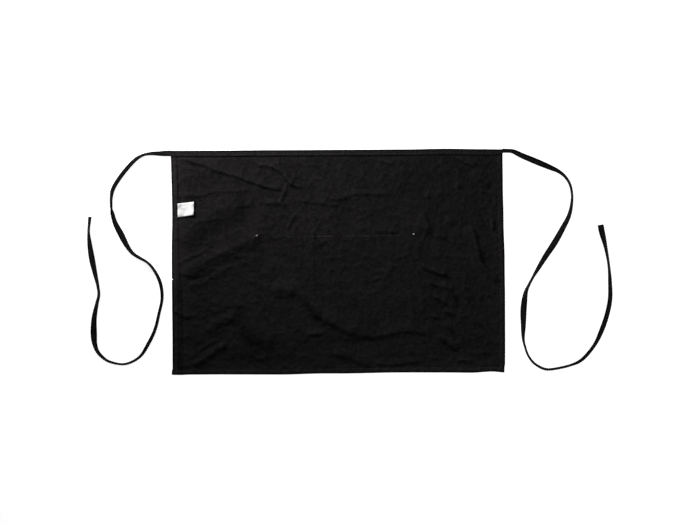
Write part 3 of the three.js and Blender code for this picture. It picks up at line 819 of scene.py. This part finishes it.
def stitch_tree():
    """Rounded stitches at even steps along lines: pitch, length and thread thickness are its inputs."""
    tree = bpy.data.node_groups.new("stitch_row", "GeometryNodeTree")
    tree.is_modifier = True
    tree.interface.new_socket("Lines", in_out="INPUT", socket_type="NodeSocketGeometry")
    for name in ("Pitch", "Length", "Thread"):
        tree.interface.new_socket(name, in_out="INPUT", socket_type="NodeSocketFloat")
    tree.interface.new_socket("Material", in_out="INPUT", socket_type="NodeSocketMaterial")
    tree.interface.new_socket("Stitches", in_out="OUTPUT", socket_type="NodeSocketGeometry")
    wanted = add(tree, "NodeGroupInput").outputs
    curves = add(tree, "GeometryNodeMeshToCurve", links={"Mesh": wanted["Lines"]})
    points = add(tree, "GeometryNodeResampleCurve", {"mode": "LENGTH"},
                 links={"Curve": curves.outputs["Curve"], "Length": wanted["Pitch"]})
    bead = add(tree, "GeometryNodeMeshUVSphere", values={"Segments": 6, "Rings": 4, "Radius": 0.5})
    size = add(tree, "ShaderNodeCombineXYZ",
               links={"X": wanted["Length"], "Y": wanted["Thread"], "Z": wanted["Thread"]})
    stitch = add(tree, "GeometryNodeTransform",
                 links={"Geometry": bead.outputs["Mesh"], "Scale": size.outputs["Vector"]})
    tangent = add(tree, "GeometryNodeInputTangent")
    turn = add(tree, "FunctionNodeAlignRotationToVector", {"axis": "X"},
               links={"Vector": tangent.outputs["Tangent"]})
    vary = add(tree, "FunctionNodeRandomValue", {"data_type": "FLOAT"}, {2: 0.88, 3: 1.06, "Seed": 4})
    row = add(tree, "GeometryNodeInstanceOnPoints",
              links={"Points": points.outputs["Curve"], "Instance": stitch.outputs["Geometry"],
                     "Rotation": turn.outputs["Rotation"], "Scale": vary.outputs[1]})
    real = add(tree, "GeometryNodeRealizeInstances", links={"Geometry": row.outputs["Instances"]})
    soft = add(tree, "GeometryNodeSetShadeSmooth", links={"Geometry": real.outputs["Geometry"]})
    dyed = add(tree, "GeometryNodeSetMaterial",
               links={"Geometry": soft.outputs["Geometry"], "Material": wanted["Material"]})
    add(tree, "NodeGroupOutput", links={"Stitches": dyed.outputs["Geometry"]})
    return tree


def sewn(name, lines, pitch, length, thread, material):
    """Stitches along lines of points, as one plain mesh object."""
    points = np.vstack(lines)
    edges = []
    first = 0
    for line in lines:
        edges += [(first + i, first + i + 1) for i in range(len(line) - 1)]
        first += len(line)
    guide = bpy.data.meshes.new(name + "_lines")
    guide.from_pydata(points * MM, edges, [])
    holder = bpy.data.objects.new(name + "_lines", guide)
    bpy.context.scene.collection.objects.link(holder)
    row = holder.modifiers.new("stitches", "NODES")
    row.node_group = STITCHES
    inputs = {"Pitch": pitch * MM, "Length": length * MM, "Thread": thread * MM, "Material": material}
    for item in STITCHES.interface.items_tree:
        if item.in_out == "INPUT" and item.name in inputs:
            row[item.identifier] = inputs[item.name]
    ready = holder.evaluated_get(bpy.context.evaluated_depsgraph_get())
    mesh = bpy.data.meshes.new_from_object(ready)
    mesh.name = name
    bpy.data.objects.remove(holder)
    bpy.data.meshes.remove(guide)
    piece = bpy.data.objects.new(name, mesh)
    bpy.context.scene.collection.objects.link(piece)
    return piece


def tie_route(start, rows):
    """The tie's centre line at even steps: places, rolls and the distance from the band."""
    x, y = place(start["side"] * HALF, start["down"])
    lead = (x + start["side"] * TIE_LEAD, y, start["lead_roll"])
    curve = through([(x, y, start["roll"]), lead, *rows], 2 * CURVE_STEPS)
    return evenly(curve, RING_STEP)


def puckers(along, seed):
    """Small waves that a seam pulls into the tape, at a drifting pitch."""
    drift = np.cumsum(np.random.default_rng(seed).normal(0, PUCKER_DRIFT, len(along)))
    return PUCKER_RISE * np.sin(2 * math.pi * along / PUCKER_PITCH + drift)


def lying(lowest):
    """Height of a tie's middle line, smooth, so that the lowest points of its rings clear the floor."""
    clear = TIE_CLEARANCE - lowest
    kernel = np.hanning(LIE_RINGS)
    eased = np.convolve(np.pad(clear, LIE_RINGS // 2, mode="edge"), kernel / kernel.sum(), mode="valid")
    return np.maximum(eased, clear)


def tie_piece(name, start, rows, light_along, material):
    """A tie of folded tape lying on the floor, its centre line, and its two rows of stitch places."""
    route, along = tie_route(start, rows)
    forward = np.gradient(route[:, :2], axis=0)
    forward /= np.hypot(*forward.T)[:, None]
    level = np.column_stack([-forward[:, 1], forward[:, 0], np.zeros(len(route))])
    up = np.array([0, 0, 1])
    flat = np.cos(np.radians(route[:, 2]))
    roll = np.arccos(np.clip(flat + TIE_SAG * np.sin(math.pi * flat), -1, 1))[:, None]
    wide = np.cos(roll) * level + np.sin(roll) * up
    thick = np.cos(roll) * up - np.sin(roll) * level
    like_band = 1 - smooth(along, 0, TIE_BLEND)
    turns = along[:-1][np.diff(np.sign(flat)) != 0]
    turning = bump(along[:, None] - turns, TIE_OPEN_REACH).sum(axis=1)
    swell = 1 + TIE_FULL_AT_BAND * like_band + TIE_OPEN * turning
    pucker = puckers(along, start["seed"])
    section = np.array(TAPE_SECTION)
    across = section[:, 0]
    at_band = BAND_DEPTH / TIE_WIDTH
    spread = at_band + (TIE_FULL - at_band) * smooth(along, 0, 2 * TIE_BLEND)
    near_slit = 0.4 + 0.6 * smooth(-across, -4, 6)
    rise = section[:, 1] * TIE_THICKNESS / 2 * swell[:, None] + pucker[:, None] * near_slit
    rings = (across * spread[:, None])[:, :, None] * wide[:, None, :] + rise[:, :, None] * thick[:, None, :]
    centre = np.column_stack([route[:, :2], lying(rings[:, :, 2].min(axis=1))])
    rings = rings + centre[:, None, :]
    tucked = rings[:1] - np.array([start["side"] * TIE_TUCK, 0, 0])
    rings = np.concatenate([tucked, rings])
    piece = swept_piece(name, rings, travelled(section), np.concatenate([[-TIE_TUCK], along]), material)
    # Painted light and shade along the tie, and on its puckers.
    share, tone = np.transpose(light_along)
    tie_light = np.interp(along / along[-1], share, tone)
    worn = TIE_CREST["tone"] + TIE_LADDER * pucker / PUCKER_RISE + tie_light
    worn = worn + (BAND_WORN - TIE_WORN - tie_light) * like_band
    worn = np.concatenate([worn[:1], worn])
    give(piece, "wear_and_painted_light", TIE_WORN + worn[:, None] * bump(across, TIE_CREST["half"]))
    groove, depth = TAPE_GROOVE
    seams = []
    for face in (1, -1):
        out = face * depth * TIE_THICKNESS / 2 * swell + pucker
        seams.append((centre + (groove * spread)[:, None] * wide + out[:, None] * thick)[2:-1])
    return piece, centre, seams


def band_piece(name, material):
    """The tape folded over the panel's top edge, with the small puckers its seam pulls in."""
    stations = np.arange(-HALF, HALF + RING_STEP / 2, PANEL_WIDTH / round(PANEL_WIDTH / RING_STEP))
    section = np.array(BAND_SECTION)
    below, height = section.T
    pucker = puckers(stations, BAND_SEED)
    upper = smooth(height, 2.4, 3) * smooth(below, 0, 3)
    narrowed = 1 - BAND_NARROWS * smooth(stations, HALF - BAND_NARROW_LENGTH, HALF)
    x, y = place(stations[:, None], below * narrowed[:, None])
    z = height + pucker[:, None] * upper
    piece = swept_piece(name, np.stack([x, y, z], axis=-1), travelled(section), stations, material)
    # Painted shade on top edge, lower lip, a crease and between puckers; painted highlights on lip and
    # puckers.
    dark = EDGE_DARK * (1 - smooth(below, *BAND_TOP_EDGE))
    dark = dark + BAND_LIP_DARK * SEAM_DARK * smooth(below, *BAND_LIP)
    dark = dark + BAND_CREASE["tone"] * bump(below - BAND_CREASE["down"], BAND_CREASE["half"])
    painted_line = BAND_LIP_HIGHLIGHT["tone"] * bump(below - BAND_LIP_HIGHLIGHT["down"], BAND_LIP_HIGHLIGHT["half"])
    gather = 0.75 + 0.45 * ripples(stations, 0 * stations, *GATHER_WAVES)
    ladder = BAND_LADDER * upper * (gather * pucker)[:, None] / PUCKER_RISE
    give(piece, "wear_and_painted_light", BAND_WORN - dark + painted_line + ladder)
    return piece


def fold_columns():
    """The panel's columns at its top and bottom: place across, cloth layer, distance on the flat cloth."""
    right_fold = far_side(double_fold(RIGHT_HEM, HEM_TURN, RIGHT_HEM - SEAM_INSET), HALF)
    count = round((PANEL_WIDTH - LEFT_HEM[0] - RIGHT_HEM) / GRID)
    ends = []
    for left, seam in zip(LEFT_HEM, LEFT_SEAM):
        between = np.linspace(-HALF + left, HALF - RIGHT_HEM, count + 1)[1:-1]
        ends.append(joined(double_fold(left, HEM_TURN, seam) - (HALF, 0), between, right_fold))
    at_band, at_bottom = ends
    return at_band[:, 0], at_bottom[:, 0], at_band[:, 1], [travelled(stations, LAYER) for stations in ends]


def fold_rows():
    """The panel's rows: place below the top, cloth layer, and distance on the flat cloth."""
    hem = far_side(double_fold(BOTTOM_HEM, HEM_TURN, BOTTOM_HEM - SEAM_INSET), PANEL_LENGTH)
    end = PANEL_LENGTH - BOTTOM_HEM
    even = np.linspace(BAND_DEPTH, end, round((end - BAND_DEPTH) / GRID) + 1)[:-1]
    nick = NICK_DOWN + NICK_HALF * np.linspace(-1, 1, 5)
    plain = even[np.abs(even - NICK_DOWN) > NICK_HALF + 1]
    in_band = [(down, 0) for down in ROWS_IN_BAND]
    stations = joined(in_band, np.sort(np.concatenate([plain, nick])), hem)
    return stations[:, 0], stations[:, 1], travelled(stations, LAYER)


def label_edges(x):
    """How far out along the label each x is, and the label's lower and upper edge there."""
    root = LEFT_HEM[0] - HALF
    share = (x - root) / (LABEL_TOP["free_x"] - root)
    lower, upper = (edge["start_y"] + (edge["free_y"] - edge["start_y"]) * share
                    for edge in (LABEL_BOTTOM, LABEL_TOP))
    return share, lower, upper


def label_shadow_share(x, y):
    """1 where the label's shadow is painted on the cloth: under it, and a little below and past its free
    edges.
    """
    share, lower, upper = label_edges(x)
    painted_line = lower - LABEL_SHADOW_DROP * share
    beside = smooth(share, 0, 0.1) * (1 - smooth(share, 1.09, 1.16))
    return beside * smooth(y, painted_line - 1, painted_line + 1) * (1 - smooth(y, upper - 1, upper + 1))


def cloth_painted_light(across, down, x, y, beside, above, below):
    """Painted shade in the single cloth's seams and turns, painted light beside its hems and on its creases.
    """
    left = across < 0
    # Painted shade beside the hems' inner edges and just below the band.
    seam = SEAM_DARK * np.where(left, soft_steps(LEFT_SEAM_DARK, down), RIGHT_SEAM_DARK)
    dark = seam * bump(beside, SEAM_HALF) + BAND_SEAM_DARK * SEAM_DARK * bump(below, SEAM_HALF)
    # Painted light on the cloth beside the hems and just below the band.
    inside = np.minimum(beside, above)
    fade = np.where(left, soft_steps(LEFT_PAINTED_LIGHT, down), RIGHT_PAINTED_LIGHT)
    painted_light = fade * (1 - bump(inside, OFF_SEAM)) * bump(inside, HEM_LIGHT_REACH)
    painted_light = painted_light + soft_steps(LIGHT_BELOW_BAND, across) * bump(below - BELOW_BAND["down"], BELOW_BAND["half"])
    bent = wavered(x, y)
    creased = sum(crease_light_and_shade(fold, *bent) for fold in FOLDS)
    deep = sum(painted_turn_shade(*turn, *bent) for turn in PAINTED_TURN_SHADES)
    return creased - deep - dark + painted_light


def hem_wear_and_painted_shade(across, down, above):
    """The panel's hems: pale faces from wear, painted shade on the folded edge and in the left stitching."""
    left = across < 0
    at_bottom = above < 0
    # Painted shade on the folded outer edge.
    from_edge = np.minimum(HALF - np.abs(across), PANEL_LENGTH - down)
    edge = 1 - np.where(at_bottom, smooth(from_edge, *BOTTOM_EDGE), smooth(from_edge, *SIDE_EDGE))
    side = np.where(left, soft_steps(LEFT_HEM_WORN, down), RIGHT_HEM_WORN)
    worn = HEM_WORN * np.where(at_bottom, soft_steps(BOTTOM_HEM_WORN, across), side)
    # Painted shade in the left hem's stitching.
    stitched = np.where(left, bump(HALF + across - left_seam(down), STITCH_HALF), 0)
    return worn - EDGE_DARK * edge - SEAM_DARK * soft_steps(LEFT_STITCH_DARK, down) * stitched


def panel_piece(name, material):
    """The apron's cloth with its double-folded hems, and the size it was cut to."""
    at_band, at_bottom, column_layer, (flat_band, flat_bottom) = fold_columns()
    down, row_layer, flat_v = fold_rows()
    down = down[:, None] + np.zeros_like(at_band)
    across = at_band + (at_bottom - at_band) * widened(down)
    flat_u = flat_band + (flat_bottom - flat_band) * widened(down)
    beside = HALF - np.abs(across) - np.where(across < 0, left_hem(down), RIGHT_HEM)
    above = PANEL_LENGTH - BOTTOM_HEM - down
    below = down - BAND_DEPTH
    stack = 2 * (1 - smooth(beside, 0, STACK_EASE))
    layers = stacked(row_layer[:, None], column_layer[None, :], stack)
    pressed = 0.15 + 0.85 * smooth(below, -2, 8)
    x, y = place(across, down)
    z = cloth_height(across, down) + LAYER * layers * pressed
    piece = sheet_piece(name, np.stack([x, y, z], axis=-1), flat_u, flat_v, CLOTH, material)
    single = (row_layer[:, None] < 0.5) & (column_layer[None, :] < 0.5)
    # Painted light and shade on the single cloth, wear and painted shade on the hems, and the label's painted
    # shadow.
    worn = cloth_painted_light(across, down, x, y, beside, above, below)
    give(piece, "wear_and_painted_light", np.where(single, worn, hem_wear_and_painted_shade(across, down, above)))
    give(piece, "painted_label_shadow", np.where(single, LABEL_SHADOW * label_shadow_share(x, y), 0))
    to_cross_seam = np.minimum(np.abs(above), np.abs(below))
    to_side_seam = np.abs(beside)
    give(piece, "seam_run", np.where(to_side_seam < to_cross_seam, down, across) * MM)
    nearest = np.minimum(to_side_seam, to_cross_seam)
    give(piece, "seam_pull", np.where(single, np.exp(-nearest / SEAM_PULL_REACH), 1))
    return piece, (flat_band[-1], flat_v[-1])


def pocket_piece(name, material):
    """The patch pocket under the panel, with its hemmed top and turned edges, and the size it was cut to."""
    half = POCKET_WIDTH / 2
    turn = single_fold(POCKET_TURN)
    hem = double_fold(POCKET_HEM, POCKET_TURN, POCKET_HEM - SEAM_INSET)
    count = round((POCKET_WIDTH - 2 * POCKET_TURN) / POCKET_GRID)
    middle = np.linspace(-half + POCKET_TURN, half - POCKET_TURN, count + 1)[1:-1]
    columns = joined(turn - (half, 0), middle, far_side(turn, half))
    end = POCKET_DEPTH - POCKET_TURN
    body = np.linspace(POCKET_HEM, end, round((end - POCKET_HEM) / POCKET_GRID) + 1)[1:-1]
    rows = joined(hem, body, far_side(turn, POCKET_DEPTH))
    stack = 1 - smooth(half - np.abs(columns[:, 0]) - POCKET_TURN, 0, STACK_EASE)
    layers = stacked(rows[:, 1][:, None], columns[:, 1][None, :], stack[None, :])
    across, down = np.meshgrid(columns[:, 0] + POCKET_OFF_CENTRE, rows[:, 0] + POCKET_BELOW_TOP)
    x, y = place(across, down)
    points = np.stack([x, y, POCKET_LIE + POCKET_LAYER * layers], axis=-1)
    flat_u = travelled(columns, POCKET_LAYER)
    flat_v = travelled(rows, POCKET_LAYER)
    return sheet_piece(name, points, flat_u, flat_v, POCKET_CLOTH, material), (flat_u[-1], flat_v[-1])


def bridged(across, down, reach):
    """Height of something stiffer lying on the panel: that of the highest cloth within its reach."""
    steps = ((0, 0), (reach, 0), (-reach, 0), (0, reach), (0, -reach))
    return np.max([cloth_height(across + right, down + below) for right, below in steps], axis=0)


def label_piece(name, material):
    """The blank care label, folded double with its fold free and both ends caught in the left hem."""
    steps = np.linspace(0, 1, LABEL_COLUMNS)
    out = np.concatenate([steps, [LABEL_NOSE], steps[::-1]])
    layer = np.concatenate([np.ones(LABEL_COLUMNS), [0.5], np.zeros(LABEL_COLUMNS)])
    fall = np.linspace(0, 1, LABEL_ROWS)[:, None]
    start_y, free_x, free_y = (LABEL_TOP[key] + (LABEL_BOTTOM[key] - LABEL_TOP[key]) * fall
                               for key in ("start_y", "free_x", "free_y"))
    down = PANEL_LENGTH / 2 - start_y
    start_x = place(-HALF + left_hem(down), down)[0] - LABEL_TUCK
    x = start_x + (free_x - start_x) * out
    y = start_y + (free_y - start_y) * out
    down = PANEL_LENGTH / 2 - y
    left_out = edge_out("left", down / PANEL_LENGTH)
    right_out = edge_out("right", down / PANEL_LENGTH)
    across = (x + (left_out - right_out) / 2) / (1 + (left_out + right_out) / PANEL_WIDTH)
    lies = bridged(across, down, LABEL_STIFF) + CLOTH / 2 + LABEL_CLEAR
    lifted = LABEL_LIFT * (0.7 + 0.6 * fall) * smooth(out, 0.15, 1.1)
    parted = layer * (LABEL_OPEN[0] + LABEL_OPEN[1] * smooth(out, 0.2, 1))
    points = np.stack([x, y, lies + lifted + parted], axis=-1)
    width = free_x[0, 0] - start_x[0, 0]
    flat_u = np.concatenate([steps * width, [width], 2 * width - steps[::-1] * width])
    flat_v = fall[:, 0] * (LABEL_TOP["start_y"] - LABEL_BOTTOM["start_y"])
    piece = sheet_piece(name, points[:, ::-1], flat_u, flat_v, LABEL_CLOTH, material)
    return piece, (flat_u[-1], flat_v[-1])


def on_cloth(across, down, raise_by):
    """Points of a line sewn into the panel, raised from the cloth's middle."""
    across, down = np.broadcast_arrays(np.asarray(across, float), np.asarray(down, float))
    x, y = place(across, down)
    return np.column_stack([x, y, cloth_height(across, down) + raise_by])


scene = bpy.context.scene
scene.view_settings.view_transform = "Standard"

# Camera straight above, in the photograph's frame
lens = bpy.data.cameras.new("camera")
lens.sensor_width = SENSOR
lens.sensor_fit = "HORIZONTAL"
lens.lens = SENSOR * CAMERA_PLACE[2] / FRAME_WIDTH
camera = bpy.data.objects.new("camera", lens)
camera.location = CAMERA_PLACE
scene.collection.objects.link(camera)
scene.camera = camera

# Materials
twill = black_cotton("washed_black_cotton_twill", "#0e0d0d", "#282627", TWILL_RIB, TWILL_SLANT)
tape = black_cotton("black_cotton_tape", "#060606", "#282627", TAPE_RIB, TAPE_SLANT)
satin = white_satin("white_woven_satin")
black_thread = spun_thread("black_polyester_thread", "#0d0c0c", "#1b1a1a")
pale_thread = spun_thread("undyed_polyester_thread", "#b9b4a8", "#e6e2d6")
worn_thread = spun_thread("soiled_undyed_polyester_thread", "#6d6962", "#8c877e")
STITCHES = stitch_tree()
black_sewing = (STITCH_PITCH, STITCH_LENGTH, THREAD, black_thread)

# Ties, the free ends of the tape
ties = {
    "tie_left": tie_piece("tie_left_tape", TIE_LEFT_START, LEFT_TIE, LEFT_TIE_LIGHT, tape),
    "tie_right": tie_piece("tie_right_tape", TIE_RIGHT_START, RIGHT_TIE, RIGHT_TIE_LIGHT, tape),
}
for node, (tie, line, seams) in ties.items():
    stitches = sewn(node + "_stitches", seams, *black_sewing)
    for piece in (tie, stitches):
        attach(piece, "root")
    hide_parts(node)

# Pocket, panel, band and label
pocket, pocket_cut = pocket_piece("pocket_cloth", twill)
panel, panel_cut = panel_piece("panel_cloth", twill)
band = band_piece("band_tape", tape)
label, label_cut = label_piece("label_satin", satin)

# Stitching of the hems, on both faces
run = np.arange(BAND_DEPTH + SEAM_INSET, PANEL_LENGTH - SEAM_INSET, STITCH_PITCH)
hem_run = np.arange(-HALF + STITCH_PITCH, HALF - SEAM_INSET, STITCH_PITCH)
hem_lines = []
for face in (TOP_FACE, FRONT_FACE):
    hem_lines.append(on_cloth(left_seam(run) - HALF, run, face))
    hem_lines.append(on_cloth(HALF - RIGHT_HEM + SEAM_INSET, run, face))
    hem_lines.append(on_cloth(hem_run, PANEL_LENGTH - BOTTOM_HEM + SEAM_INSET, face))
hem_stitches = sewn("hem_stitches", hem_lines, *black_sewing)

# Stitching of the band, on both leaves
band_run = np.arange(-HALF + SEAM_INSET, HALF - SEAM_INSET, STITCH_PITCH)
band_x, band_y = place(band_run, np.full(len(band_run), BAND_GROOVE_DOWN))
band_lines = [np.column_stack([band_x, band_y, np.full(len(band_run), z)]) for z in BAND_FACES]
band_stitches = sewn("band_stitches", band_lines, *black_sewing)

# Pocket stitching, which shows on the wrong side and on the hidden front
pocket_left = POCKET_OFF_CENTRE - POCKET_WIDTH / 2 + SEAM_INSET
pocket_right = POCKET_OFF_CENTRE + POCKET_WIDTH / 2 - SEAM_INSET
pocket_bottom = POCKET_BELOW_TOP + POCKET_DEPTH - SEAM_INSET
pocket_run = np.arange(POCKET_BELOW_TOP + STITCH_PITCH, pocket_bottom, STITCH_PITCH)
pocket_cross = np.arange(pocket_left, pocket_right, STITCH_PITCH)
pocket_lines = [on_cloth(pocket_left, pocket_run, CLOTH / 2), on_cloth(pocket_right, pocket_run, CLOTH / 2),
                on_cloth(pocket_cross, pocket_bottom, CLOTH / 2)]
for line in list(pocket_lines):
    pocket_lines.append(np.column_stack([line[:, :2], np.full(len(line), POCKET_FRONT)]))
pocket_stitches = sewn("pocket_stitches", pocket_lines, STITCH_PITCH, STITCH_LENGTH, POCKET_THREAD,
                       black_thread)

# Pale thread
tack_lines = []
tack_ends = [POCKET_BELOW_TOP - TACK["height"] / 2, POCKET_BELOW_TOP + TACK["height"] / 2]
for tack in TACKS:
    for i, along in enumerate(np.linspace(-TACK["width"] / 2, TACK["width"] / 2, TACK["threads"])):
        lean = TACK["lean"] * (-1) ** i
        leaning = [tack + along - lean, tack + along + lean]
        tack_lines.append(on_cloth(leaning, tack_ends, CLOTH / 2 + TACK["raise"]))
bar_tacks = sewn("bar_tacks", tack_lines, **TACK_SEWING, material=pale_thread)
pale_row = []
for start, end, skip in PALE_RUNS:
    for at in np.arange(start, end, STITCH_PITCH * skip):
        pale_row.append(on_cloth([at, at + PALE_LENGTH], POCKET_BELOW_TOP + PALE_BELOW_TOP, CLOTH / 2))
pale_stitches = sewn("pale_stitches", pale_row, PALE_LENGTH, 0.9 * PALE_LENGTH, PALE_THREAD, worn_thread)

for piece, slot in ((panel, "black_twill"), (pocket, "black_twill"), (band, "black_tape"),
                    (label, "white_label"), (hem_stitches, "black_twill"), (band_stitches, "black_tape"),
                    (pocket_stitches, "black_twill"), (bar_tacks, "white_label"),
                    (pale_stitches, "white_label")):
    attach(piece, "root")
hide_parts("body_panel")
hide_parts("front_pocket")
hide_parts("waist_band")
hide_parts("care_label")

# White paper floor and soft light, strongest from the upper left
far = FLOOR_HALF / MM
paper = mesh_piece("floor", [(-far, -far, 0), (far, -far, 0), (far, far, 0), (-far, far, 0)], [(0, 1, 2, 3)],
                   [(0, 0), (1, 0), (1, 1), (0, 1)], studio_paper("white_studio_paper"))
for name, (spot, aim, width, depth, spread, power) in LIGHTS.items():
    lamp = bpy.data.lights.new(name, "AREA")
    lamp.shape = "RECTANGLE"
    lamp.size = width
    lamp.size_y = depth
    lamp.spread = math.radians(spread)
    lamp.energy = power
    light = bpy.data.objects.new(name, lamp)
    light.location = spot
    toward = np.array(aim) - np.array(spot)
    flat = math.hypot(toward[0], toward[1])
    light.rotation_euler = (math.atan2(flat, -toward[2]), 0, math.atan2(toward[1], toward[0]) - math.pi / 2)
    scene.collection.objects.link(light)

world = bpy.data.worlds.new("studio")
world.use_nodes = True
background = world.node_tree.nodes["Background"]
background.inputs["Color"].default_value = (1, 1, 1, 1)
background.inputs["Strength"].default_value = SKY
scene.world = world
